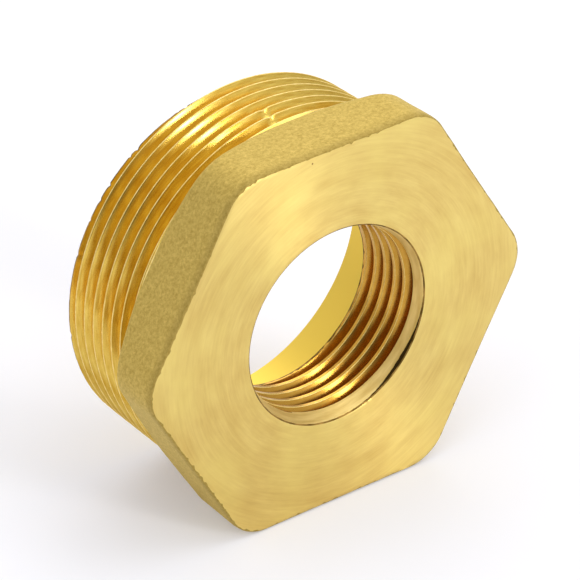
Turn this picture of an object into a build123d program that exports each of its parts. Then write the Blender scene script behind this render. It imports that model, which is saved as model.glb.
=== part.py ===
import math
import os

from build123d import *

# One-piece brass hex bushing. A tapered male pipe thread stands behind a hexagon, and a
# smaller parallel pipe thread is tapped through the hexagon into a wide plain hollow.
# It lies on one flat of its hexagon. Millimetres, +Z up, bore axis along Y.
# The origin is on the bore axis, in the plane of the hexagon's turned face, which looks to -Y.

# The hexagon is forged, with a little draft, round corners and a chamfer behind them.
across_flats = 61.0
corner_radius = 7.0
hex_draft_angle = 2.4
hex_width = 10.9
back_chamfer_angle = 28.0
overall_length = 27.3

# Both threads are 55 degree pipe threads, 11 to the inch, drawn here turn by turn as rings.
# The male thread's depth and its flat roots and crests are shares of the pitch.
thread_pitch = 2.309
thread_angle = 55.0
male_depth_share = 0.6403
male_flat_share = 1 / 6

# The male 2 inch thread tapers 1 in 16 on the diameter, measured at its gauge plane.
male_gauge_diameter = 59.614
male_gauge_length = 15.9
male_taper = 1 / 16
male_rim_land = 0.4

# The female 1 inch thread is tapped in a drilled hole, behind a short plain counterbore.
female_major_diameter = 33.249
female_depth = 1.375
female_length = 13.6
female_first_groove = 2.46
mouth_step = 0.475
mouth_edge_break = 0.4

# The hollow behind the female thread is turned smooth.
hollow_diameter = 48.1

flank_slope = math.tan(math.radians(thread_angle / 2))
gauge_plane = overall_length - male_gauge_length
male_depth = thread_pitch * male_depth_share
male_root_flat = thread_pitch * male_flat_share
male_mouth_half = male_root_flat / 2 + male_depth * flank_slope
male_last_groove = overall_length - male_rim_land - male_mouth_half
male_turns = 1 + math.floor((male_last_groove - male_mouth_half - hex_width) / thread_pitch)

tapped_radius = female_major_diameter / 2
drilled_radius = tapped_radius - female_depth
mouth_radius = tapped_radius - mouth_step
female_mouth_half = female_depth * flank_slope
female_turns = 1 + math.floor(
    (female_length - female_mouth_half - female_first_groove) / thread_pitch
)
mouth_end = female_first_groove - mouth_step * flank_slope

across_bore = Plane(origin=(0, 0, 0), x_dir=(1, 0, 0), z_dir=(0, 1, 0))


def male_crest_radius(y):
    """Radius over the crests of the taper thread at a distance y behind the face."""
    return male_gauge_diameter / 2 - (y - gauge_plane) * male_taper / 2


shoulder_radius = male_crest_radius(hex_width)
corner_reach = across_flats / 2 / math.cos(math.radians(30))
chamfer_rise = (corner_reach - shoulder_radius) * math.tan(math.radians(back_chamfer_angle))


def shank_profile():
    """Half section of the shank, as (y, radius) points from the hexagon to the rim.

    Each crest and each root is parallel, a little smaller than the one before it.
    """
    points = [(0, 0), (0, shoulder_radius)]
    crest = shoulder_radius
    for turn in range(male_turns):
        groove = male_last_groove - (male_turns - 1 - turn) * thread_pitch
        root = male_crest_radius(groove) - male_depth
        points.append((groove - male_mouth_half, crest))
        crest = male_crest_radius(groove + thread_pitch / 2)
        points.append((groove - male_root_flat / 2, root))
        points.append((groove + male_root_flat / 2, root))
        points.append((groove + male_mouth_half, crest))
    points.append((overall_length, crest))
    points.append((overall_length, 0))
    return points


def bore_profile():
    """Half section of the bore, as (y, radius) points from the mouth to the hollow."""
    points = [
        (0, 0),
        (0, mouth_radius + mouth_edge_break),
        (mouth_edge_break, mouth_radius),
        (mouth_end, mouth_radius),
    ]
    for turn in range(female_turns):
        groove = female_first_groove + turn * thread_pitch
        if turn > 0:
            points.append((groove - female_mouth_half, drilled_radius))
        points.append((groove, tapped_radius))
        points.append((groove + female_mouth_half, drilled_radius))
    points.append((female_length, drilled_radius))
    points.append((female_length, 0))
    return points


with BuildPart() as hex_bushing:
    # The hexagon narrows behind its face and loses its back corners to the chamfer.
    with BuildSketch(across_bore):
        RegularPolygon(across_flats / 2, 6, major_radius=False)
    extrude(amount=hex_width)
    flats = hex_bushing.faces().filter_by(lambda face: abs(face.normal_at().Y) < 0.5)
    draft(flats, across_bore, hex_draft_angle)
    corners = hex_bushing.edges().filter_by(lambda edge: abs(edge.tangent_at(0.5).Y) > 0.5)
    fillet(corners, corner_radius)
    with BuildSketch(Plane.YZ):
        with BuildLine():
            Polyline(
                (0, 0),
                (0, corner_reach),
                (hex_width - chamfer_rise, corner_reach),
                (hex_width, shoulder_radius),
                (hex_width, 0),
                close=True,
            )
        make_face()
    revolve(axis=Axis.Y, mode=Mode.INTERSECT)

    # The threaded shank grows out of the hexagon's back.
    with BuildSketch(Plane.YZ):
        with BuildLine():
            Polyline(*shank_profile(), close=True)
        make_face()
    revolve(axis=Axis.Y)

    # The tapped bore opens into the hollow.
    with BuildSketch(Plane.YZ):
        with BuildLine():
            Polyline(*bore_profile(), close=True)
        make_face()
    revolve(axis=Axis.Y, mode=Mode.SUBTRACT)
    with BuildSketch(Plane.YZ):
        with BuildLine():
            Polyline(
                (female_length, 0),
                (female_length, hollow_diameter / 2),
                (overall_length, hollow_diameter / 2),
                (overall_length, 0),
                close=True,
            )
        make_face()
    revolve(axis=Axis.Y, mode=Mode.SUBTRACT)

hex_bushing.part.label = "hex_bushing"

os.makedirs("parts", exist_ok=True)
export_step(hex_bushing.part, "parts/hex_bushing.step")
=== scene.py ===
"""The looks of a one-piece brass hex bushing, lying on one flat of its hexagon.

The bore axis is Y. The turned face is at y = 0 and the male thread's rim is the far end.
Lengths of the piece are in millimetres and become metres where its mesh is made. The floor,
the lamps and the camera are placed in metres.
"""

import math

import bmesh
import bpy
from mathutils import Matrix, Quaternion, Vector, noise


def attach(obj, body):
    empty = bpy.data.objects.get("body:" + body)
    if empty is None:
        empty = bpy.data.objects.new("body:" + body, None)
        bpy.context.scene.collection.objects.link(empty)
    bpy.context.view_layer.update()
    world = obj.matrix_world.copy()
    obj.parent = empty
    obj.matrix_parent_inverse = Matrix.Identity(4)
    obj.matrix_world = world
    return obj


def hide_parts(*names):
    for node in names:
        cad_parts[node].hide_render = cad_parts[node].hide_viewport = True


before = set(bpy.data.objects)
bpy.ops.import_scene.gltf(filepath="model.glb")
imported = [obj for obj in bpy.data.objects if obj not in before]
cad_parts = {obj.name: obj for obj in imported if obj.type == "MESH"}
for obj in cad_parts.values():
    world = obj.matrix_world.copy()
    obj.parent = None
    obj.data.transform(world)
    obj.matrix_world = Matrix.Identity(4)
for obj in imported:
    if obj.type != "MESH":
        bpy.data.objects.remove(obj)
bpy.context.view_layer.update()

# ---------------------------------------------------------------------------------------
# The studio: a pale sweep of paper under the piece, a tall narrow softbox low in front, a
# broad one behind to the right and one high up. The pale room is dim at the front left.
# ---------------------------------------------------------------------------------------


def linear(hex_colour):
    """An sRGB hex colour as the linear RGBA that a shader socket takes."""
    channels = [int(hex_colour[i : i + 2], 16) / 255 for i in (1, 3, 5)]
    return [c / 12.92 if c <= 0.04045 else ((c + 0.055) / 1.055) ** 2.4 for c in channels] + [1.0]


def add_node(tree, kind, sockets=None, **settings):
    """Adds one node to a tree: its settings, then its sockets' values or links."""
    node = tree.nodes.new(kind)
    for name, value in settings.items():
        setattr(node, name, value)
    for name, value in (sockets or {}).items():
        if isinstance(value, bpy.types.NodeSocket):
            tree.links.new(value, node.inputs[name])
        else:
            node.inputs[name].default_value = value
    return node


def new_material(name):
    """An empty node material and its output."""
    material = bpy.data.materials.new(name)
    material.use_nodes = True
    material.node_tree.nodes.clear()
    return material, add_node(material.node_tree, "ShaderNodeOutputMaterial")


FLOOR_LEVEL = -0.0305
FLOOR_HALF_WIDTH = 2.5

bpy.ops.mesh.primitive_plane_add(size=2 * FLOOR_HALF_WIDTH, location=(0, 0, FLOOR_LEVEL))
floor = bpy.context.object
floor.name = "paper_sweep"

# White paper: matt, and shown a little lighter than the lamps alone make it, so that only
# the piece's shadow stands out from the white.
PAPER_GLOW = 0.22
paper, paper_output = new_material("white_paper")
tree = paper.node_tree
paper_lit = add_node(tree, "ShaderNodeBsdfDiffuse", {"Color": linear("#F4F4FA"), "Roughness": 0.5})
paper_glow = add_node(tree, "ShaderNodeEmission", {"Color": linear("#FFFFFF"), "Strength": 1.0})
paper_rays = add_node(tree, "ShaderNodeLightPath")
paper_seen = add_node(
    tree,
    "ShaderNodeMath",
    {0: paper_rays.outputs["Is Camera Ray"], 1: paper_rays.outputs["Is Glossy Ray"]},
    operation="ADD",
)
paper_seen_all = add_node(
    tree,
    "ShaderNodeMath",
    {0: paper_seen.outputs[0], 1: paper_rays.outputs["Is Transmission Ray"]},
    operation="ADD",
    use_clamp=True,
)
paper_share = add_node(
    tree,
    "ShaderNodeMath",
    {0: paper_seen_all.outputs[0], 1: PAPER_GLOW},
    operation="MULTIPLY",
)
paper_mix = add_node(
    tree,
    "ShaderNodeMixShader",
    {0: paper_share.outputs[0], 1: paper_lit.outputs[0], 2: paper_glow.outputs[0]},
)
tree.links.new(paper_mix.outputs[0], paper_output.inputs["Surface"])
floor.data.materials.append(paper)

# The room: white overhead and greyer toward the horizon, which the brass needs to mirror, and
# dim round one direction so that what faces it stays deep in colour.
ROOM_WHITE_HEIGHT = 0.4
ROOM_STRENGTH = 0.98
DIM_DIRECTION = (-0.48, -0.84, 0.25)
DIM_STRENGTH = 0.2
DIM_OUTER_EDGE = 0.8
DIM_INNER_EDGE = 0.96

world = bpy.data.worlds.new("pale_room")
bpy.context.scene.world = world
world.use_nodes = True
tree = world.node_tree
tree.nodes.clear()
world_output = add_node(tree, "ShaderNodeOutputWorld")
room_direction = add_node(tree, "ShaderNodeTexCoord")
room_height = add_node(tree, "ShaderNodeSeparateXYZ", {0: room_direction.outputs["Generated"]})
room_tone = add_node(tree, "ShaderNodeValToRGB", {"Fac": room_height.outputs["Z"]})
room_tone.color_ramp.elements[0].position = 0.0
room_tone.color_ramp.elements[0].color = linear("#C6C6C8")
room_tone.color_ramp.elements[1].position = ROOM_WHITE_HEIGHT
room_tone.color_ramp.elements[1].color = linear("#FFFFFF")
room_dim_side = add_node(
    tree,
    "ShaderNodeVectorMath",
    {0: room_direction.outputs["Generated"], 1: DIM_DIRECTION},
    operation="DOT_PRODUCT",
)
room_strength = add_node(
    tree,
    "ShaderNodeMapRange",
    {
        "Value": room_dim_side.outputs["Value"],
        "From Min": DIM_OUTER_EDGE,
        "From Max": DIM_INNER_EDGE,
        "To Min": ROOM_STRENGTH,
        "To Max": DIM_STRENGTH,
    },
)
room = add_node(
    tree,
    "ShaderNodeBackground",
    {"Color": room_tone.outputs["Color"], "Strength": room_strength.outputs["Result"]},
)
tree.links.new(room.outputs[0], world_output.inputs["Surface"])

SOFTBOX_AIM = (0, 0.01, 0)


def add_softbox(name, position, width, height, power):
    """A rectangular area lamp that faces the piece, with its power in watts."""
    lamp = bpy.data.lights.new(name, "AREA")
    lamp.shape = "RECTANGLE"
    lamp.size = width
    lamp.size_y = height
    lamp.energy = power
    holder = bpy.data.objects.new(name, lamp)
    holder.location = position
    facing = Vector(SOFTBOX_AIM) - Vector(position)
    holder.rotation_mode = "QUATERNION"
    holder.rotation_quaternion = facing.to_track_quat("-Z", "Y")
    bpy.context.scene.collection.objects.link(holder)


add_softbox("front_softbox", position=(0.23, -0.95, 0.3), width=0.13, height=0.46, power=3.2)
add_softbox("back_softbox", position=(0.45, 0.62, 0.62), width=0.7, height=0.7, power=2.6)
add_softbox("high_softbox", position=(0.3, -0.25, 0.9), width=0.5, height=0.5, power=1.2)

# The camera: it looks down from the front left through a very long lens.
CAMERA_POSITION = (-0.57206, -0.74854, 0.58964)
CAMERA_LOOKS_AT = (0.0003, 0.0119, 0.00016)
CAMERA_ROLL = math.radians(-0.611)
CAMERA_LENS = 470.74
CAMERA_SENSOR = 36.0
CAMERA_NEAR = 0.05
CAMERA_FAR = 20.0

camera_data = bpy.data.cameras.new("camera")
camera_data.lens = CAMERA_LENS
camera_data.sensor_width = CAMERA_SENSOR
camera_data.clip_start = CAMERA_NEAR
camera_data.clip_end = CAMERA_FAR
camera = bpy.data.objects.new("camera", camera_data)
camera.location = CAMERA_POSITION
camera_facing = Vector(CAMERA_LOOKS_AT) - Vector(CAMERA_POSITION)
camera.rotation_mode = "QUATERNION"
camera.rotation_quaternion = camera_facing.to_track_quat("-Z", "Y") @ Quaternion(
    (0, 0, 1), CAMERA_ROLL
)
bpy.context.scene.collection.objects.link(camera)
bpy.context.scene.camera = camera
bpy.context.scene.view_settings.view_transform = "Standard"

# ---------------------------------------------------------------------------------------
# The hexagon: forged brass, 61 mm across its flats, with a little draft, soft corners and a
# conical chamfer behind them. Its flanks keep the matt forged skin.
# ---------------------------------------------------------------------------------------

# Points in one turn about the bore axis.
COLUMNS = 480
# In degrees: the first flat, from flat to flat, and from a flat's middle to a corner.
FIRST_FLAT = 90
FLAT_STEP = 60
HALF_FLAT = 30
ACROSS_FLATS = 61.0
CORNER_RADIUS = 7.0
HEX_DRAFT = math.tan(math.radians(2.4))
HEX_WIDTH = 10.9
BACK_CHAMFER_SLOPE = 1 / math.tan(math.radians(28.0))
CREASE_SOFTNESS = 0.16
CREASE_HALVINGS = 30
CREASE_ROOM = 0.05
FRONT_ROLL_OFF = 0.2
FRONT_ROLL_WIDTH = 1.4
MALE_GAUGE_RADIUS = 29.807
MALE_GAUGE_PLANE = 11.4
MALE_TAPER = 1 / 32

bands = []


def column_angle(column):
    """The angle of a column of points about the bore axis, from +X toward +Z."""
    return 2 * math.pi * column / COLUMNS


def add_band(rows, finish, rows_a_turn=0, land=None):
    """Keeps rows of (radius, y) points, one for each column, and the finish between them.

    finish is one name, or for a helix a list with a name for each row of one pitch.
    rows_a_turn is how many rows a helix's rows drop by in one turn, or 0 for closed rings.
    land is a test of (radius, y) for what the helix leaves uncut, and that metal's finish.
    """
    names = [finish] if isinstance(finish, str) else finish
    bands.append({"rows": rows, "finishes": names, "rows_a_turn": rows_a_turn, "land": land})


def ring(radius, y):
    """One closed ring of points. radius and y are numbers or functions of the angle."""
    made = []
    for column in range(COLUMNS):
        angle = column_angle(column)
        here_radius = radius(angle) if callable(radius) else radius
        here_y = y(angle) if callable(y) else y
        made.append((here_radius, here_y))
    return made


def grain(angle, radius, y, size, seed):
    """Smooth noise from -1 to 1 on the piece's surface, with lumps of a size in millimetres."""
    spot = Vector((radius * math.cos(angle), y, radius * math.sin(angle)))
    return noise.noise(spot / size + Vector((seed, seed, seed)))


def male_crest_radius(y):
    """Radius over the male thread's crests, which taper 1 in 16 on the diameter."""
    return MALE_GAUGE_RADIUS - (y - MALE_GAUGE_PLANE) * MALE_TAPER


def off_flat_degrees(angle):
    """The angle from the middle of the nearest flat, from -30 to 30 degrees."""
    return (math.degrees(angle) - FIRST_FLAT + HALF_FLAT) % FLAT_STEP - HALF_FLAT


def hexagon_radius(angle, y):
    """Radius of the drafted hexagon with its rounded corners."""
    apothem = ACROSS_FLATS / 2 - y * HEX_DRAFT
    half_flat = math.radians(HALF_FLAT)
    off_flat = abs(math.radians(off_flat_degrees(angle)))
    straight = (apothem - CORNER_RADIUS) * math.tan(half_flat)
    if apothem * math.tan(off_flat) <= straight:
        return apothem / math.cos(off_flat)
    corner_centre = (apothem - CORNER_RADIUS) / math.cos(half_flat)
    off_corner = half_flat - off_flat
    return corner_centre * math.cos(off_corner) + math.sqrt(
        CORNER_RADIUS**2 - (corner_centre * math.sin(off_corner)) ** 2
    )


def back_chamfer_radius(y):
    """Radius of the cone behind the corners, which ends on the shank's crest radius."""
    return male_crest_radius(HEX_WIDTH) + (HEX_WIDTH - y) * BACK_CHAMFER_SLOPE


def crease_place(angle):
    """Where the flank meets the back chamfer at this angle."""
    low, high = 0.0, HEX_WIDTH
    for _ in range(CREASE_HALVINGS):
        middle = (low + high) / 2
        if hexagon_radius(angle, middle) < back_chamfer_radius(middle):
            low = middle
        else:
            high = middle
    return low


# The lathe tool cut into the back edge at the middle of each flat, deepest on one side.
SHOULDER_CUT = 0.5
SHOULDER_CUT_MEAN = 0.55
SHOULDER_CUT_SWING = 0.45
SHOULDER_DEEPEST = math.radians(165)
SHOULDER_HALF_ANGLE = 17.0


def skin_end(angle):
    """Where the skin stops: earlier at the middle of each flat, where the tool cut in."""
    lean = SHOULDER_CUT_MEAN + SHOULDER_CUT_SWING * math.cos(angle - SHOULDER_DEEPEST)
    off_middle = abs(off_flat_degrees(angle)) / SHOULDER_HALF_ANGLE
    return HEX_WIDTH - SHOULDER_CUT * lean * max(0.0, 1 - off_middle**2)


skin_ends = [skin_end(column_angle(c)) for c in range(COLUMNS)]
crease = [
    min(crease_place(column_angle(c)), skin_ends[c] - CREASE_ROOM) for c in range(COLUMNS)
]

# The forging's slow waves and its finer ripple, which fade out toward the shank.
WAVE_DEPTH = 0.07
WAVE_SIZE = 9.0
RIPPLE_DEPTH = 0.03
RIPPLE_SIZE = 2.2
WAVES_FADE_WIDTH = 1.5
# The crease's blend works on what stands over this radius, so that its powers stay small.
BLEND_BASE = 30


def skin_radius(angle, y):
    """The forged skin: the hexagon cut by the cone, a little wavy, rolled off at the front."""
    flank = hexagon_radius(angle, y)
    chamfer = back_chamfer_radius(y)
    blend = -CREASE_SOFTNESS * math.log(
        math.exp(-(flank - BLEND_BASE) / CREASE_SOFTNESS)
        + math.exp(-(chamfer - BLEND_BASE) / CREASE_SOFTNESS)
    )
    radius = min(BLEND_BASE + blend, flank, chamfer)
    near_front = max(0.0, 1 - y / FRONT_ROLL_WIDTH)
    radius -= FRONT_ROLL_OFF * near_front**2
    settled = min(1.0, max(0.0, (HEX_WIDTH - y) / WAVES_FADE_WIDTH))
    waves = WAVE_DEPTH + WAVE_DEPTH * grain(angle, radius, y, WAVE_SIZE, seed=3.0)
    waves += RIPPLE_DEPTH * grain(angle, radius, y, RIPPLE_SIZE, seed=11.0)
    return max(radius - max(waves, 0.0) * settled, male_crest_radius(HEX_WIDTH))


def flank_row(share):
    """A ring on the flanks, at a share of the way from the front roll-off to the crease."""
    made = []
    for column in range(COLUMNS):
        y = FRONT_ROLL_WIDTH + share * (crease[column] - FRONT_ROLL_WIDTH)
        made.append((skin_radius(column_angle(column), y), y))
    return made


def chamfer_row(share):
    """A ring on the back chamfer, at a share of the way from the crease to the shank."""
    made = []
    for column in range(COLUMNS):
        y = crease[column] + share * (skin_ends[column] - crease[column])
        radius = skin_radius(column_angle(column), y)
        made.append((male_crest_radius(HEX_WIDTH) if share == 1.0 else radius, y))
    return made


# The turned face's outline: cut back from the skin all round, ragged, and nicked in places.
EDGE_CUT_BACK = 0.08
EDGE_RAGGED_DEPTH = 0.14
EDGE_RAGGED_SIZE = 1.1
EDGE_NICK_DEPTH = 0.6
EDGE_NICK_SIZE = 0.8
EDGE_NICK_LEVEL = 0.15


def front_edge_radius(angle):
    """The outline of the turned face, ragged where the tool broke out of the skin."""
    edge = skin_radius(angle, 0.0)
    ragged = 0.5 + 0.5 * grain(angle, edge, 0.0, EDGE_RAGGED_SIZE, seed=21.0)
    nicks = max(0.0, grain(angle, edge, 0.0, EDGE_NICK_SIZE, seed=5.0) - EDGE_NICK_LEVEL)
    return edge - EDGE_CUT_BACK - EDGE_RAGGED_DEPTH * ragged - EDGE_NICK_DEPTH * nicks


FRONT_ROW_PLACES = (0.12, 0.4, 0.75, 1.1)
FLANK_ROW_SHARES = (0.0, 0.15, 0.3, 0.45, 0.6, 0.75, 0.87, 0.95, 1.0)
CHAMFER_ROW_SHARES = (0.06, 0.2, 0.4, 0.65, 0.85, 1.0)

skin_rows = [ring(front_edge_radius, 0.0)]
for place in FRONT_ROW_PLACES:
    skin_rows.append(ring(lambda angle, y=place: skin_radius(angle, y), place))
for share in FLANK_ROW_SHARES:
    skin_rows.append(flank_row(share))
for share in CHAMFER_ROW_SHARES:
    skin_rows.append(chamfer_row(share))
add_band(skin_rows, "forged_skin")
# The step that the lathe tool left between the skin and the shank is bare turned metal.
# It takes the crests' pale finish, which is a painted highlight.
add_band(
    [
        chamfer_row(1.0),
        ring(male_crest_radius(HEX_WIDTH), lambda angle: (skin_end(angle) + HEX_WIDTH) / 2),
        ring(male_crest_radius(HEX_WIDTH), HEX_WIDTH),
    ],
    "thread_crest",
)

MILLIMETRE = 0.001


def polar_streaks(tree, across, along):
    """A vector that runs fine across the radius and long round the bore axis.

    across is noise cells for each metre of radius, along is cells for each radian.
    """
    place = add_node(tree, "ShaderNodeTexCoord")
    flat = add_node(
        tree,
        "ShaderNodeVectorMath",
        {0: place.outputs["Object"], 1: (1, 0, 1)},
        operation="MULTIPLY",
    )
    radius = add_node(tree, "ShaderNodeVectorMath", {0: flat.outputs[0]}, operation="LENGTH")
    way = add_node(tree, "ShaderNodeVectorMath", {0: flat.outputs[0]}, operation="NORMALIZE")
    way_scaled = add_node(
        tree, "ShaderNodeVectorMath", {0: way.outputs[0], "Scale": along}, operation="SCALE"
    )
    rise = add_node(
        tree, "ShaderNodeMath", {0: radius.outputs["Value"], 1: across}, operation="MULTIPLY"
    )
    rise_vector = add_node(tree, "ShaderNodeCombineXYZ", {"Y": rise.outputs[0]})
    return add_node(
        tree,
        "ShaderNodeVectorMath",
        {0: way_scaled.outputs[0], 1: rise_vector.outputs[0]},
        operation="ADD",
    ).outputs[0]


# Forged brass skin: oxidised and blasted, so it is matt and olive, mottled with paler specks.
# The blasting's dents are about 0.5 mm wide and the skin's stains about 4 mm.
DENTS_A_METRE = 1900.0
STAINS_A_METRE = 260.0
forged_skin, skin_output = new_material("forged_brass_skin")
tree = forged_skin.node_tree
skin_place = add_node(tree, "ShaderNodeTexCoord")
skin_mottle = add_node(
    tree,
    "ShaderNodeTexNoise",
    {
        "Vector": skin_place.outputs["Object"],
        "Scale": DENTS_A_METRE,
        "Detail": 5.0,
        "Roughness": 0.8,
    },
)
skin_colour = add_node(tree, "ShaderNodeValToRGB", {"Fac": skin_mottle.outputs["Fac"]})
skin_colour.color_ramp.elements[0].position = 0.3
skin_colour.color_ramp.elements[0].color = linear("#B29948")
skin_colour.color_ramp.elements[1].position = 0.75
skin_colour.color_ramp.elements[1].color = linear("#E6CD7A")
# The tool drags a darker, rolled band along the skin's front edge, about 1 mm wide.
DRAG_WANDER = 1.2 * MILLIMETRE
DRAG_FULL = 0.8 * MILLIMETRE
DRAG_END = 2.2 * MILLIMETRE
DRAG_SHARE = 0.3
skin_depth = add_node(tree, "ShaderNodeSeparateXYZ", {0: skin_place.outputs["Object"]})
skin_patch = add_node(
    tree,
    "ShaderNodeTexNoise",
    {
        "Vector": skin_place.outputs["Object"],
        "Scale": STAINS_A_METRE,
        "Detail": 3.0,
        "Roughness": 0.6,
    },
)
skin_edge_wander = add_node(
    tree,
    "ShaderNodeMath",
    {0: skin_patch.outputs["Fac"], 1: DRAG_WANDER, 2: skin_depth.outputs["Y"]},
    operation="MULTIPLY_ADD",
)
skin_edge = add_node(
    tree,
    "ShaderNodeMapRange",
    {
        "Value": skin_edge_wander.outputs[0],
        "From Min": DRAG_FULL,
        "From Max": DRAG_END,
        "To Min": DRAG_SHARE,
        "To Max": 0.0,
    },
)
skin_tone = add_node(
    tree,
    "ShaderNodeMixRGB",
    {
        "Fac": skin_edge.outputs["Result"],
        "Color1": skin_colour.outputs["Color"],
        "Color2": linear("#7D6630"),
    },
)
skin_bump = add_node(
    tree,
    "ShaderNodeBump",
    {"Height": skin_mottle.outputs["Fac"], "Strength": 0.6, "Distance": 0.15 * MILLIMETRE},
)
skin_shader = add_node(
    tree,
    "ShaderNodeBsdfPrincipled",
    {
        "Base Color": skin_tone.outputs["Color"],
        "Metallic": 1.0,
        "Roughness": 0.72,
        "Normal": skin_bump.outputs["Normal"],
    },
)
tree.links.new(skin_shader.outputs[0], skin_output.inputs["Surface"])

# ---------------------------------------------------------------------------------------
# The turned face: faced off on a lathe, so it is flat and bright, with fine rings about the
# bore, a few pits, and a sharp ragged edge where it meets the skin.
# ---------------------------------------------------------------------------------------

MOUTH_RADIUS = 16.15
MOUTH_EDGE_BREAK = 0.15
FACE_ROW_SHARES = (0, 0.03, 0.1, 0.2, 0.3, 0.4, 0.5, 0.6, 0.7, 0.8, 0.9, 0.96, 1.0)

face_inner = MOUTH_RADIUS + MOUTH_EDGE_BREAK
face_rows = []
for share in FACE_ROW_SHARES:
    face_rows.append(
        ring(lambda angle, s=share: face_inner + s * (front_edge_radius(angle) - face_inner), 0.0)
    )
add_band(face_rows, "turned_face")

# Faced brass: satin and light gold, its lathe rings spread the lamps into a bow tie. The fine
# rings are about 0.4 mm apart and the broad ones about 2.6 mm.
BROAD_RING_SHARE = 0.55
turned_face, face_output = new_material("faced_brass")
tree = turned_face.node_tree
face_streaks = add_node(
    tree,
    "ShaderNodeTexNoise",
    {
        "Vector": polar_streaks(tree, across=2600.0, along=4.0),
        "Scale": 1.0,
        "Detail": 5.0,
        "Roughness": 0.7,
    },
)
face_bands = add_node(
    tree,
    "ShaderNodeTexNoise",
    {
        "Vector": polar_streaks(tree, across=380.0, along=3.0),
        "Scale": 1.0,
        "Detail": 3.0,
        "Roughness": 0.55,
    },
)
face_tone = add_node(
    tree,
    "ShaderNodeMixRGB",
    {
        "Fac": BROAD_RING_SHARE,
        "Color1": face_streaks.outputs["Fac"],
        "Color2": face_bands.outputs["Fac"],
    },
)
face_colour = add_node(tree, "ShaderNodeValToRGB", {"Fac": face_tone.outputs["Color"]})
face_colour.color_ramp.elements[0].position = 0.3
face_colour.color_ramp.elements[0].color = linear("#D6B464")
face_colour.color_ramp.elements[1].position = 0.7
face_colour.color_ramp.elements[1].color = linear("#EFD682")
# Paler, more yellow patches, about 12 mm wide, are painted on at random as glints.
GLINT_PATCHES_A_METRE = 85.0
GLINT_PATCH_SHARE = 0.45
face_place = add_node(tree, "ShaderNodeTexCoord")
face_glint_patches = add_node(
    tree,
    "ShaderNodeTexNoise",
    {
        "Vector": face_place.outputs["Object"],
        "Scale": GLINT_PATCHES_A_METRE,
        "Detail": 3.0,
        "Roughness": 0.5,
    },
)
face_glint_share = add_node(
    tree,
    "ShaderNodeMapRange",
    {
        "Value": face_glint_patches.outputs["Fac"],
        "From Min": 0.42,
        "From Max": 0.68,
        "To Min": 0.0,
        "To Max": GLINT_PATCH_SHARE,
    },
)
face_glinted = add_node(
    tree,
    "ShaderNodeMixRGB",
    {
        "Fac": face_glint_share.outputs["Result"],
        "Color1": face_colour.outputs["Color"],
        "Color2": linear("#F5E083"),
    },
)
# Small pits and specks of dirt, up to 0.3 mm in radius: one in about each sixth cell of 4 mm.
FLECK_CELLS_A_METRE = 230.0
FLECK_LEAST_DRAW = 0.84
FLECK_REACH = 0.075
fleck_cells = add_node(
    tree,
    "ShaderNodeTexVoronoi",
    {"Vector": face_place.outputs["Object"], "Scale": FLECK_CELLS_A_METRE},
)
fleck_draw = add_node(tree, "ShaderNodeSeparateColor", {0: fleck_cells.outputs["Color"]})
fleck_size = add_node(
    tree,
    "ShaderNodeMapRange",
    {
        "Value": fleck_draw.outputs[0],
        "From Min": FLECK_LEAST_DRAW,
        "From Max": 1.0,
        "To Min": 0.0,
        "To Max": FLECK_REACH,
    },
)
fleck = add_node(
    tree,
    "ShaderNodeMath",
    {0: fleck_cells.outputs["Distance"], 1: fleck_size.outputs["Result"]},
    operation="LESS_THAN",
)
face_marked = add_node(
    tree,
    "ShaderNodeMixRGB",
    {
        "Fac": fleck.outputs[0],
        "Color1": face_glinted.outputs["Color"],
        "Color2": linear("#9C7B45"),
    },
)
face_bump = add_node(
    tree,
    "ShaderNodeBump",
    {"Height": face_streaks.outputs["Fac"], "Strength": 0.1, "Distance": 0.04 * MILLIMETRE},
)
face_tangent = add_node(tree, "ShaderNodeTangent", direction_type="RADIAL", axis="Y")
face_shader = add_node(
    tree,
    "ShaderNodeBsdfPrincipled",
    {
        "Base Color": face_marked.outputs["Color"],
        "Metallic": 1.0,
        "Roughness": 0.38,
        "Anisotropic": 0.75,
        "Anisotropic Rotation": 0.25,
        "Tangent": face_tangent.outputs[0],
        "Normal": face_bump.outputs["Normal"],
    },
)
tree.links.new(face_shader.outputs[0], face_output.inputs["Surface"])

# ---------------------------------------------------------------------------------------
# The male thread: 2 inch, 11 turns to the inch, 55 degrees, right-handed, cut with a chaser
# on the tapered shank. It runs out on a narrow turned land behind the hexagon.
# ---------------------------------------------------------------------------------------

PITCH = 2.309
THREAD_DEPTH = 0.6403 * PITCH
CREST_ROUNDING = 0.115
FLANK_ANGLE = math.radians(27.5)
OVERALL_LENGTH = 27.3
MALE_CREST_AT_ZERO = 14.55
RUN_OUT_START = 11.2
RUN_OUT_FULL = 12.0
RIM_BURR_DROP = 0.1
RIM_BURR_AT = OVERALL_LENGTH - 0.3
CREST_REACH = CREST_ROUNDING * math.cos(FLANK_ANGLE)
CREST_DROP = CREST_ROUNDING * (1 - math.sin(FLANK_ANGLE))


def smooth_step(low, high, value):
    """0 below low, 1 above high and an even rise between them."""
    share = min(1.0, max(0.0, (value - low) / (high - low)))
    return share * share * (3 - 2 * share)


def thread_drop(off_crest):
    """Depth below the crest, off_crest millimetres away: a round crest and a flat root."""
    if off_crest <= CREST_REACH:
        return CREST_ROUNDING - math.sqrt(CREST_ROUNDING**2 - off_crest**2)
    flank = CREST_DROP + (off_crest - CREST_REACH) / math.tan(FLANK_ANGLE)
    return min(flank, THREAD_DEPTH)


# Knocks on the crests: angle in degrees and place on the axis. Each dents the metal and
# pushes some of it up beside the dent.
CREST_KNOCKS = ((92.0, 15.9), (92.9, 13.6))
KNOCK_WIDTH = 0.5
KNOCK_REACH = 2
KNOCK_DENT = 0.4
KNOCK_RISE = 0.42
KNOCK_RISE_BESIDE = 0.3
KNOCK_RISE_BEHIND = 0.75
KNOCK_RISE_LIMIT = 0.1
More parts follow.
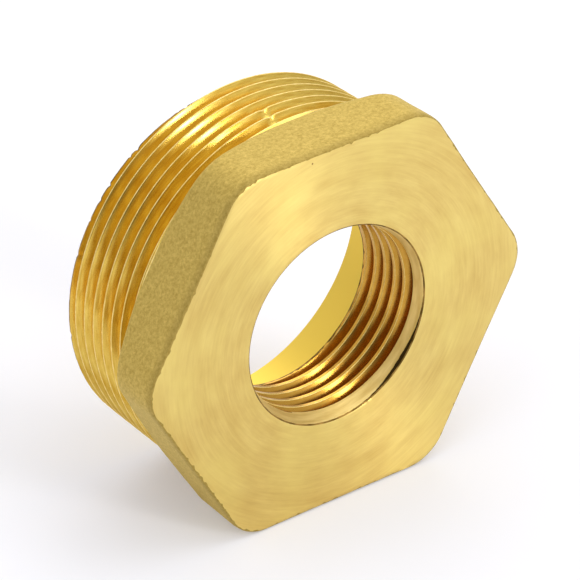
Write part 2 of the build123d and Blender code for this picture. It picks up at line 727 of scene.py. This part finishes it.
# Bits that the rim's thin edge has lost: angle and half width in degrees, and depth.
RIM_NOTCHES = (
    (104.4, 0.8, 0.35),
    (107.0, 0.5, 0.2),
    (124.4, 1.0, 0.45),
    (127.5, 0.6, 0.25),
    (138.1, 0.8, 0.4),
    (143.5, 0.7, 0.35),
    (150.0, 0.5, 0.2),
    (161.0, 0.9, 0.25),
    (188.0, 0.8, 0.2),
    (236.0, 0.9, 0.3),
    (301.0, 0.8, 0.3),
    (352.0, 0.7, 0.25),
)
RIM_WEAR_START = 26.3
RIM_WEAR_FULL = 27.2
RIM_WEAR_DEPTH = 0.08
RIM_WEAR_SIZE = 0.7


def knocks(angle, y, radius):
    """How far the knocks and the rim's wear raise or lower the surface here."""
    moved = 0.0
    for knock_angle, knock_y in CREST_KNOCKS:
        round_it = (math.degrees(angle) - knock_angle) * math.pi / 180 * radius
        along_it = y - knock_y
        if abs(round_it) < KNOCK_REACH and abs(along_it) < KNOCK_REACH:
            away = math.hypot(round_it, along_it) / KNOCK_WIDTH
            off_rise = math.hypot(round_it + KNOCK_RISE_BESIDE, along_it + KNOCK_RISE_BEHIND)
            beside = off_rise / KNOCK_WIDTH
            moved += KNOCK_RISE * math.exp(-(beside**2)) - KNOCK_DENT * math.exp(-(away**2))
    if y > RIM_WEAR_START:
        for notch_angle, half_width, depth in RIM_NOTCHES:
            off_notch = abs(math.degrees(angle) - notch_angle) / half_width
            near_rim = smooth_step(RIM_WEAR_START, RIM_WEAR_FULL, y)
            moved -= depth * max(0.0, 1 - off_notch) * near_rim
        worn = 0.5 + 0.5 * grain(angle, radius, y, RIM_WEAR_SIZE, seed=31.0)
        moved -= RIM_WEAR_DEPTH * worn
    return moved


def male_radius(angle, y):
    """Radius of the shank with its helical thread, which runs out short of the hexagon."""
    crest_place = MALE_CREST_AT_ZERO - PITCH * angle / (2 * math.pi)
    turns = (y - crest_place) / PITCH
    groove_place = crest_place + PITCH * (math.floor(turns) + 0.5)
    cut = smooth_step(RUN_OUT_START, RUN_OUT_FULL, groove_place)
    off_crest = abs(turns - round(turns)) * PITCH
    radius = male_crest_radius(y) - cut * thread_drop(off_crest)
    return min(radius + knocks(angle, y, radius), male_crest_radius(y) + KNOCK_RISE_LIMIT)


def helix_rows(first, last, start, place_in_pitch, radius_at):
    """Rows that follow a right-handed helix, held between the rings at first and last."""
    start_turn = math.floor((first - start) / PITCH)
    count = len(place_in_pitch)
    rows = []
    index = 0
    while True:
        base = start + PITCH * (start_turn + index // count) + place_in_pitch[index % count]
        row = []
        for column in range(COLUMNS):
            angle = column_angle(column)
            y = base - PITCH * angle / (2 * math.pi)
            y = min(max(y, first), last)
            row.append((radius_at(angle, y), y))
        rows.append(row)
        if base >= last + PITCH:
            return rows
        index += 1


# Rows of points lie close to the thread's bends, which keeps the bends crisp.
CREST_ROW_OFFSET = 0.05
BEFORE_BEND = 0.04
AFTER_BEND = 0.02

root_edge = CREST_REACH + (THREAD_DEPTH - CREST_DROP) * math.tan(FLANK_ANGLE)
male_half = [
    0.0,
    CREST_ROW_OFFSET,
    CREST_REACH,
    CREST_REACH + CREST_ROW_OFFSET,
    root_edge - BEFORE_BEND,
    root_edge + AFTER_BEND,
]
male_places = male_half + [PITCH / 2] + [PITCH - place for place in reversed(male_half[1:])]
# The crests take the paler finish, a painted highlight along each crest line.
male_finishes = []
for place, next_place in zip(male_places, male_places[1:] + [PITCH]):
    middle = (place + next_place) / 2
    on_crest = min(middle, PITCH - middle) < CREST_REACH
    male_finishes.append("thread_crest" if on_crest else "cut_thread")
add_band(
    helix_rows(HEX_WIDTH, RIM_BURR_AT, MALE_CREST_AT_ZERO, male_places, male_radius),
    male_finishes,
    len(male_places),
)


def streaked_tone(tree, across, along, detail, dark, light, spread=0.2):
    """A colour that runs between two tones in streaks round the bore axis.

    The tones are reached at a spread below and above the noise's middle value.
    """
    streaks = add_node(
        tree,
        "ShaderNodeTexNoise",
        {
            "Vector": polar_streaks(tree, across, along),
            "Scale": 1.0,
            "Detail": detail,
            "Roughness": 0.6,
        },
    )
    tone = add_node(tree, "ShaderNodeValToRGB", {"Fac": streaks.outputs["Fac"]})
    tone.color_ramp.elements[0].position = 0.5 - spread
    tone.color_ramp.elements[0].color = linear(dark)
    tone.color_ramp.elements[1].position = 0.5 + spread
    tone.color_ramp.elements[1].color = linear(light)
    return tone.outputs["Color"]


# Cut brass: bright and smooth along the helix, with tool lines about 0.4 mm apart. It reflects
# itself from flank to flank, which deepens it to orange in the grooves.
cut_thread, thread_output = new_material("cut_thread_brass")
tree = cut_thread.node_tree
thread_tone = streaked_tone(
    tree, across=2500.0, along=8.0, detail=4.0, dark="#CFA43A", light="#EDCE6A"
)
thread_tangent = add_node(tree, "ShaderNodeTangent", direction_type="RADIAL", axis="Y")
thread_shader = add_node(
    tree,
    "ShaderNodeBsdfPrincipled",
    {
        "Base Color": thread_tone,
        "Metallic": 1.0,
        "Roughness": 0.22,
        "Anisotropic": 0.4,
        "Anisotropic Rotation": 0.25,
        "Tangent": thread_tangent.outputs[0],
    },
)
tree.links.new(thread_shader.outputs[0], thread_output.inputs["Surface"])

# Crests: painted paler than the grooves, a painted highlight along each crest line, and duller.
# The pale spots are about 1 mm wide.
thread_crest, crest_output = new_material("crest_highlight_brass")
tree = thread_crest.node_tree
crest_tone = streaked_tone(
    tree, across=900.0, along=40.0, detail=3.0, dark="#EACD78", light="#FBE5A0", spread=0.15
)
crest_shader = add_node(
    tree,
    "ShaderNodeBsdfPrincipled",
    {"Base Color": crest_tone, "Metallic": 1.0, "Roughness": 0.6},
)
tree.links.new(crest_shader.outputs[0], crest_output.inputs["Surface"])

# ---------------------------------------------------------------------------------------
# The hollow and the rim: a wide plain hollow turned from the back, smooth and yellow, with a
# flat annular step down to the tapped bore. The rim's outer edge is left thin and burred.
# ---------------------------------------------------------------------------------------

HOLLOW_RADIUS = 24.05
HOLLOW_FLOOR = 13.6
HOLLOW_CORNER = 1.0
HOLLOW_CORNER_STEPS = 4
RIM_EDGE_BREAK = 0.25
RIM_ROW_SHARES = (0.0, 0.33, 0.66, 1.0)
HOLLOW_WALL_PLACES = (24.5, 21.0, 18.0)
HOLLOW_FLOOR_RADII = (20.0, 17.2)


def rim_outer_radius(angle):
    """The rim's outer edge follows the thread that runs out through it."""
    return male_radius(angle, RIM_BURR_AT) - RIM_BURR_DROP


add_band(
    [
        ring(lambda angle: male_radius(angle, RIM_BURR_AT), RIM_BURR_AT),
        ring(rim_outer_radius, OVERALL_LENGTH),
    ],
    "edge_burr",
)
hollow_rows = []
rim_inner = HOLLOW_RADIUS + RIM_EDGE_BREAK
for share in RIM_ROW_SHARES:
    hollow_rows.append(
        ring(
            lambda angle, s=share: rim_outer_radius(angle) * (1 - s) + rim_inner * s,
            OVERALL_LENGTH,
        )
    )
hollow_rows.append(ring(HOLLOW_RADIUS, OVERALL_LENGTH - RIM_EDGE_BREAK))
for place in HOLLOW_WALL_PLACES:
    hollow_rows.append(ring(HOLLOW_RADIUS, place))
for step in range(HOLLOW_CORNER_STEPS + 1):
    turn = math.radians(90 / HOLLOW_CORNER_STEPS * step)
    hollow_rows.append(
        ring(
            HOLLOW_RADIUS - HOLLOW_CORNER * (1 - math.cos(turn)),
            HOLLOW_FLOOR + HOLLOW_CORNER * (1 - math.sin(turn)),
        )
    )
for radius in HOLLOW_FLOOR_RADII:
    hollow_rows.append(ring(radius, HOLLOW_FLOOR))

# Burred edges: thin dark lines, broken every 2 mm or so, painted as the torn metal's shadow.
BREAKS_A_METRE = 450.0
FOLD_SHADOW_DEPTH = 0.36 * MILLIMETRE
FOLD_SHADOW_HALF_WIDTH = 0.2 * MILLIMETRE
edge_burr, burr_output = new_material("burr_painted_shadow")
tree = edge_burr.node_tree
burr_place = add_node(tree, "ShaderNodeTexCoord")
burr_breaks = add_node(
    tree,
    "ShaderNodeTexNoise",
    {
        "Vector": burr_place.outputs["Object"],
        "Scale": BREAKS_A_METRE,
        "Detail": 2.0,
        "Roughness": 0.5,
    },
)
burr_colour = add_node(tree, "ShaderNodeValToRGB", {"Fac": burr_breaks.outputs["Fac"]})
burr_colour.color_ramp.elements[0].position = 0.4
burr_colour.color_ramp.elements[0].color = linear("#684F22")
burr_colour.color_ramp.elements[1].position = 0.65
burr_colour.color_ramp.elements[1].color = linear("#B08A48")
# Where the edge of the bore's mouth is rolled over wide, a dark line behind the fold is painted
# shadow.
burr_along = add_node(tree, "ShaderNodeSeparateXYZ", {0: burr_place.outputs["Object"]})
burr_fold_shadow = add_node(
    tree,
    "ShaderNodeMath",
    {0: burr_along.outputs["Y"], 1: FOLD_SHADOW_DEPTH, 2: FOLD_SHADOW_HALF_WIDTH},
    operation="COMPARE",
)
burr_tone = add_node(
    tree,
    "ShaderNodeMixRGB",
    {
        "Fac": burr_fold_shadow.outputs[0],
        "Color1": burr_colour.outputs["Color"],
        "Color2": linear("#3A2C12"),
    },
)
burr_shader = add_node(
    tree,
    "ShaderNodeBsdfPrincipled",
    {"Base Color": burr_tone.outputs["Color"], "Metallic": 1.0, "Roughness": 0.5},
)
tree.links.new(burr_shader.outputs[0], burr_output.inputs["Surface"])

# Turned hollow: smoother and yellower than the face. Its wall is faintly uneven, in swells
# about 3 mm wide.
SWELLS_A_METRE = 300.0
turned_hollow, hollow_output = new_material("turned_hollow_brass")
tree = turned_hollow.node_tree
hollow_place = add_node(tree, "ShaderNodeTexCoord")
hollow_swells = add_node(
    tree,
    "ShaderNodeTexNoise",
    {"Vector": hollow_place.outputs["Object"], "Scale": SWELLS_A_METRE, "Detail": 3.0},
)
hollow_bump = add_node(
    tree,
    "ShaderNodeBump",
    {"Height": hollow_swells.outputs["Fac"], "Strength": 0.1, "Distance": 0.05 * MILLIMETRE},
)
hollow_tangent = add_node(tree, "ShaderNodeTangent", direction_type="RADIAL", axis="Y")
hollow_shader = add_node(
    tree,
    "ShaderNodeBsdfPrincipled",
    {
        "Base Color": linear("#EED05C"),
        "Metallic": 1.0,
        "Roughness": 0.55,
        "Anisotropic": 0.2,
        "Anisotropic Rotation": 0.25,
        "Tangent": hollow_tangent.outputs[0],
        "Normal": hollow_bump.outputs["Normal"],
    },
)
tree.links.new(hollow_shader.outputs[0], hollow_output.inputs["Surface"])

# ---------------------------------------------------------------------------------------
# The tapped bore: 1 inch, 11 turns to the inch, parallel, right-handed, cut behind a short
# plain mouth. Its last turn breaks out raggedly into the hollow.
# ---------------------------------------------------------------------------------------

BORE_CREST_RADIUS = 15.25
BORE_ROOT_RADIUS = 16.62
BORE_ROOT_HALF = PITCH / 12
BORE_GROOVE_AT_ZERO = 2.69
BORE_RUN_IN_START = 1.2
BORE_RUN_IN_FULL = 2.4
BORE_END = HOLLOW_FLOOR - 0.45
MOUTH_LENGTH = 2.4
UNCUT_TOLERANCE = 0.03


def countersink_radius(y):
    """Radius of the plain mouth, which narrows to the bore's crests."""
    share = min(1.0, max(0.0, 1 - y / MOUTH_LENGTH))
    return BORE_CREST_RADIUS + share * (MOUTH_RADIUS - BORE_CREST_RADIUS)


def on_countersink(radius, y):
    """Whether a place in the bore is plain mouth that the first turn hasn't cut."""
    return y < MOUTH_LENGTH and radius < countersink_radius(y) + UNCUT_TOLERANCE


def bore_radius(angle, y):
    """Radius of the tapped bore behind its countersunk mouth."""
    land = countersink_radius(y)
    groove_place = BORE_GROOVE_AT_ZERO - PITCH * angle / (2 * math.pi)
    turns = (y - groove_place) / PITCH
    nearest = groove_place + PITCH * round(turns)
    off_groove = abs(turns - round(turns)) * PITCH
    cut = smooth_step(BORE_RUN_IN_START, BORE_RUN_IN_FULL, nearest)
    thread = BORE_ROOT_RADIUS - max(0.0, off_groove - BORE_ROOT_HALF) / math.tan(FLANK_ANGLE)
    deep = max(BORE_CREST_RADIUS, thread) - BORE_CREST_RADIUS
    return max(land, BORE_CREST_RADIUS + cut * deep)


def bore_end_radius(angle):
    """The bore's far edge, where the last turn breaks out into the step."""
    return bore_radius(angle, BORE_END)


# The burr round the bore's far edge: its least width, how much wider it gets, and how far
# apart its rags are.
BORE_BURR_LEAST = 0.05
BORE_BURR_SPAN = 0.35
BORE_BURR_SIZE = 0.9


def bore_burr_y(angle):
    """Where the ragged dark burr round the bore's far edge starts."""
    ragged = max(0.0, 0.5 + grain(angle, BORE_CREST_RADIUS, 0.0, BORE_BURR_SIZE, seed=8.0))
    return HOLLOW_FLOOR - BORE_BURR_LEAST - BORE_BURR_SPAN * min(1.0, ragged)


# The hollow's floor ends on the bore's far edge, so its last ring is made here.
hollow_rows.append(ring(bore_end_radius, HOLLOW_FLOOR))
add_band(hollow_rows, "turned_hollow")
add_band(
    [
        ring(bore_end_radius, HOLLOW_FLOOR),
        ring(bore_end_radius, bore_burr_y),
    ],
    "edge_burr",
)
add_band(
    [
        ring(bore_end_radius, bore_burr_y),
        ring(bore_end_radius, BORE_END),
    ],
    "bore_thread",
)

MOUTH_BURR_END = 0.6
ROOT_ROW_OFFSET = 0.06
# The interval between bore rows that runs over the bend onto a crest.
CREST_EDGE_ROW = 3

bore_edge = BORE_ROOT_HALF + (BORE_ROOT_RADIUS - BORE_CREST_RADIUS) * math.tan(FLANK_ANGLE)
bore_half = [
    0.0,
    BORE_ROOT_HALF,
    BORE_ROOT_HALF + ROOT_ROW_OFFSET,
    bore_edge - BEFORE_BEND,
    bore_edge + AFTER_BEND,
]
bore_places = bore_half + [PITCH / 2] + [PITCH - place for place in reversed(bore_half[1:])]
# The edge of each crest that faces the mouth is painted pale, a painted highlight along it.
bore_finishes = ["bore_thread"] * len(bore_places)
bore_finishes[CREST_EDGE_ROW] = "thread_crest"
add_band(
    helix_rows(MOUTH_BURR_END, BORE_END, BORE_GROOVE_AT_ZERO, bore_places, bore_radius),
    bore_finishes,
    len(bore_places),
    land=(on_countersink, "mouth_land"),
)

# The mouth's burr: its depth, its rags, how steeply it leans in past a shallow lip, and one
# wide knock, placed by an angle in degrees.
MOUTH_BURR_DEPTH = 0.14
MOUTH_BURR_RAGGED = 0.04
MOUTH_BURR_SIZE = 0.7
MOUTH_BURR_LEAN = 0.25
MOUTH_BURR_LIP = 0.1
MOUTH_KNOCK_ANGLE = 318
MOUTH_KNOCK_SPREAD = 21
MOUTH_KNOCK_DEPTH = 0.4


def mouth_burr_y(angle):
    """How deep the mouth's dark edge reaches: the burr is pushed over at the lower right."""
    off_knock = (math.degrees(angle) - MOUTH_KNOCK_ANGLE + 180) % 360 - 180
    ragged = MOUTH_BURR_RAGGED * grain(angle, MOUTH_RADIUS, 0.0, MOUTH_BURR_SIZE, seed=3.0)
    pushed = MOUTH_KNOCK_DEPTH * math.exp(-((off_knock / MOUTH_KNOCK_SPREAD) ** 2))
    return MOUTH_BURR_DEPTH + ragged + pushed


def mouth_burr_radius(angle):
    """The rolled edge drops away more steeply than the countersink behind it."""
    y = mouth_burr_y(angle)
    return bore_radius(angle, y) - MOUTH_BURR_LEAN * (y - MOUTH_BURR_LIP)


add_band(
    [
        ring(face_inner, 0.0),
        ring(mouth_burr_radius, mouth_burr_y),
    ],
    "edge_burr",
)
add_band(
    [
        ring(mouth_burr_radius, mouth_burr_y),
        ring(lambda angle: bore_radius(angle, MOUTH_BURR_END), MOUTH_BURR_END),
    ],
    "mouth_land",
)

# Countersunk brass: the countersink's turning marks are about 0.3 mm apart. Its ring is painted
# pale and silky, a painted sheen.
mouth_land, land_output = new_material("countersunk_brass")
tree = mouth_land.node_tree
land_sheen_tone = streaked_tone(
    tree, across=3600.0, along=3.0, detail=3.0, dark="#E2C474", light="#F9E29A"
)
land_tangent = add_node(tree, "ShaderNodeTangent", direction_type="RADIAL", axis="Y")
land_shader = add_node(
    tree,
    "ShaderNodeBsdfPrincipled",
    {
        "Base Color": land_sheen_tone,
        "Metallic": 1.0,
        "Roughness": 0.6,
        "Anisotropic": 0.6,
        "Anisotropic Rotation": 0.25,
        "Tangent": land_tangent.outputs["Tangent"],
    },
)
tree.links.new(land_shader.outputs[0], land_output.inputs["Surface"])

# Tapped brass: the tap leaves the bore's grooves smooth, and they are deeper in colour. Toward
# their roots the colour is painted deeper still, as painted shade in the grooves.
ROOT_SHADE_START = (BORE_CREST_RADIUS + 0.1) * MILLIMETRE
ROOT_SHADE_FULL = BORE_ROOT_RADIUS * MILLIMETRE
ROOT_SHADE_SHARE = 0.6
bore_thread, bore_output = new_material("tapped_brass")
tree = bore_thread.node_tree
bore_streaks = streaked_tone(
    tree, across=2500.0, along=8.0, detail=4.0, dark="#BE8F38", light="#D2A54A"
)
bore_place = add_node(tree, "ShaderNodeTexCoord")
bore_flat = add_node(
    tree,
    "ShaderNodeVectorMath",
    {0: bore_place.outputs["Object"], 1: (1, 0, 1)},
    operation="MULTIPLY",
)
bore_out = add_node(tree, "ShaderNodeVectorMath", {0: bore_flat.outputs[0]}, operation="LENGTH")
bore_root_shade = add_node(
    tree,
    "ShaderNodeMapRange",
    {
        "Value": bore_out.outputs["Value"],
        "From Min": ROOT_SHADE_START,
        "From Max": ROOT_SHADE_FULL,
        "To Min": 0.0,
        "To Max": ROOT_SHADE_SHARE,
    },
)
bore_tone = add_node(
    tree,
    "ShaderNodeMixRGB",
    {
        "Fac": bore_root_shade.outputs["Result"],
        "Color1": bore_streaks,
        "Color2": linear("#94601A"),
    },
)
bore_tangent = add_node(tree, "ShaderNodeTangent", direction_type="RADIAL", axis="Y")
bore_shader = add_node(
    tree,
    "ShaderNodeBsdfPrincipled",
    {
        "Base Color": bore_tone.outputs["Color"],
        "Metallic": 1.0,
        "Roughness": 0.24,
        "Anisotropic": 0.4,
        "Anisotropic Rotation": 0.25,
        "Tangent": bore_tangent.outputs[0],
    },
)
tree.links.new(bore_shader.outputs[0], bore_output.inputs["Surface"])

# ---------------------------------------------------------------------------------------
# The piece: all its surfaces are one closed skin of one forging, joined where they meet.
# ---------------------------------------------------------------------------------------

WELD_DISTANCE = 0.002 * MILLIMETRE
SHARP_EDGE_ANGLE = math.radians(38)

finishes = {
    "forged_skin": forged_skin,
    "turned_face": turned_face,
    "cut_thread": cut_thread,
    "thread_crest": thread_crest,
    "turned_hollow": turned_hollow,
    "bore_thread": bore_thread,
    "edge_burr": edge_burr,
    "mouth_land": mouth_land,
}
finish_names = list(finishes)


def band_points(band):
    """Every point of a band in metres, row by row."""
    for row in band["rows"]:
        for column, (radius, y) in enumerate(row):
            angle = column_angle(column)
            yield (
                radius * math.cos(angle) * MILLIMETRE,
                y * MILLIMETRE,
                radius * math.sin(angle) * MILLIMETRE,
            )


def face_finish(band, interval, column):
    """The name of the finish on one face, between two rows of a band."""
    radius, y = band["rows"][interval][column]
    radius_up, y_up = band["rows"][interval + 1][column]
    if band["land"]:
        on_land, land_finish = band["land"]
        if on_land((radius + radius_up) / 2, (y + y_up) / 2):
            return land_finish
    return band["finishes"][interval % len(band["finishes"])]


def band_faces(band, start):
    """The corners and the finish of each face of a band whose first point has number start.

    After the last column a face closes on the first one, a turn's rows lower on a helix.
    """
    for interval in range(len(band["rows"]) - 1):
        for column in range(COLUMNS):
            here = start + interval * COLUMNS + column
            if column + 1 < COLUMNS:
                beside = here + 1
                beside_up = here + 1 + COLUMNS
            else:
                beside = start + max(0, interval - band["rows_a_turn"]) * COLUMNS
                beside_up = start + max(0, interval + 1 - band["rows_a_turn"]) * COLUMNS
            corners = (here, here + COLUMNS, beside_up, beside)
            yield corners, face_finish(band, interval, column)


def build_bushing_mesh():
    """Joins every band of rows into one closed mesh."""
    work = bmesh.new()
    verts = []
    for band in bands:
        start = len(verts)
        for point in band_points(band):
            verts.append(work.verts.new(point))
        for corners, finish_name in band_faces(band, start):
            distinct = list(dict.fromkeys(corners))
            if len(distinct) >= 3:
                made = work.faces.new([verts[i] for i in distinct])
                made.material_index = finish_names.index(finish_name)
                made.smooth = True
    bmesh.ops.remove_doubles(work, verts=work.verts, dist=WELD_DISTANCE)
    bmesh.ops.dissolve_degenerate(work, edges=work.edges, dist=WELD_DISTANCE)
    bmesh.ops.recalc_face_normals(work, faces=work.faces)
    mesh = bpy.data.meshes.new("bushing")
    work.to_mesh(mesh)
    work.free()
    mesh.set_sharp_from_angle(angle=SHARP_EDGE_ANGLE)
    return mesh


bushing = bpy.data.objects.new("bushing", build_bushing_mesh())
for finish in finishes.values():
    bushing.data.materials.append(finish)
bpy.context.scene.collection.objects.link(bushing)
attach(bushing, "root")
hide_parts("hex_bushing")

bpy.context.view_layer.update()
